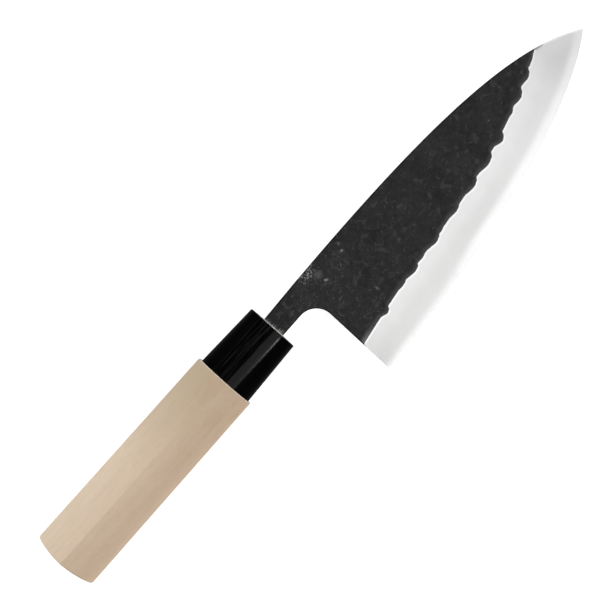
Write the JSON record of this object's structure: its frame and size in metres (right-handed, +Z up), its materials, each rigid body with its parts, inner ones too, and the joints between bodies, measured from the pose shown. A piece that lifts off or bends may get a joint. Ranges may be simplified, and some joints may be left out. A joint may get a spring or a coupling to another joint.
{
  "type": "deba knife",
  "caption": "Single-bevel deba knife with a black forged two-layer blade, hollow-ground back, resin ferrule and ridged wooden handle.",
  "frame": {"origin": "on the table, under the middle of the whole knife's footprint", "axes": "+X from the butt towards the tip, +Y from the cutting edge towards the spine, +Z up on the bevelled side; the knife lies as it does on a table, so its back leans 6.5 degrees"},
  "size_m": [0.3142, 0.0622, 0.0291],
  "materials": {
    "cladding": "black forge scale, ground bright on the bevel",
    "edge_steel": "fine ground carbon steel",
    "tang_bedding": "hardened resin",
    "handle": "bare sanded magnolia",
    "ferrule": "polished black resin",
    "mouth_seal": "pale resin bead"
  },
  "bodies": {
    "root": {"cladding": "cladding", "edge_steel": "edge_steel", "tang_bedding": "tang_bedding", "handle": "handle", "ferrule": "ferrule", "mouth_seal": "mouth_seal"}
  },
  "joints": []
}
